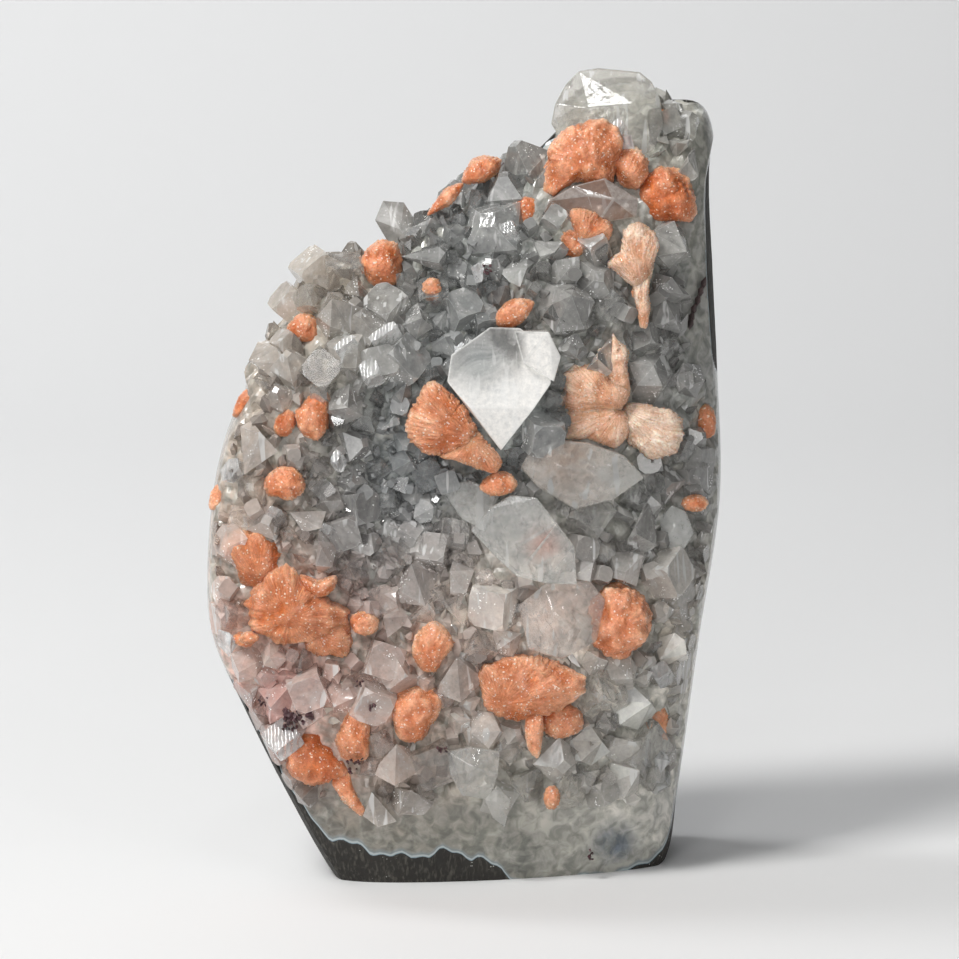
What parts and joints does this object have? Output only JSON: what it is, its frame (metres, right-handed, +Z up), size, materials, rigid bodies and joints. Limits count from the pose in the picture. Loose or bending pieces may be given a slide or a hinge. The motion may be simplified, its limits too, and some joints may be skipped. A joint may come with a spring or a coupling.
{
  "type": "apophyllite cluster",
  "caption": "Standing crystal cluster: clear apophyllite and peach stilbite on grey quartz over a dark basalt matrix, ground round the edge and cut flat below.",
  "frame": {"origin": "middle of the box's foot, on the surface that the flat cut base rests on", "axes": "+Z up, the crystal face looks along -Y, +X to the right of it"},
  "size_m": [0.1261, 0.0806, 0.1959],
  "materials": {
    "basalt": "sawn dark grey basalt with fine tool marks",
    "quartz": "translucent grey quartz crystals, ground smooth at the edges",
    "apophyllite": "clear to milky crystal with glassy faces",
    "stilbite": "peach orange bladed crystal with a pearly sparkle"
  },
  "bodies": {
    "root": {"basalt_matrix": "basalt", "crystal_crust": "quartz", "stilbite_fan_center": "stilbite", "stilbite_ball_below_center": "stilbite", "stilbite_spray_right": "stilbite", "stilbite_ball_right": "stilbite", "stilbite_block_low": "stilbite", "stilbite_block_tail": "stilbite", "stilbite_lower_center": "stilbite", "stilbite_mid_left": "stilbite", "stilbite_mass_left": "stilbite", "stilbite_mass_upper": "stilbite", "stilbite_mass_lower": "stilbite", "stilbite_foot_left": "stilbite", "stilbite_foot_tail": "stilbite", "stilbite_foot_speckled": "stilbite", "stilbite_left_ball": "stilbite", "stilbite_left_upper": "stilbite", "stilbite_left_chip": "stilbite", "stilbite_edge_left": "stilbite", "stilbite_edge_left_low": "stilbite", "stilbite_shoulder": "stilbite", "stilbite_shoulder_left": "stilbite", "stilbite_crown_large": "stilbite", "stilbite_crown_mid": "stilbite", "stilbite_crown_right": "stilbite", "stilbite_upper_bow": "stilbite", "stilbite_sheaf_right": "stilbite", "stilbite_crown_chip": "stilbite", "stilbite_mid_chip": "stilbite", "stilbite_crest": "stilbite", "stilbite_crest_low": "stilbite", "stilbite_edge_right": "stilbite", "stilbite_foot_right": "stilbite", "apophyllite_center": "apophyllite", "apophyllite_below_center": "apophyllite", "apophyllite_top": "apophyllite", "apophyllite_right_smooth": "apophyllite", "apophyllite_low_smooth": "apophyllite", "apophyllite_upper_brown": "apophyllite", "apophyllite_foot_white": "apophyllite", "apophyllite_right_point": "apophyllite"}
  },
  "joints": []
}
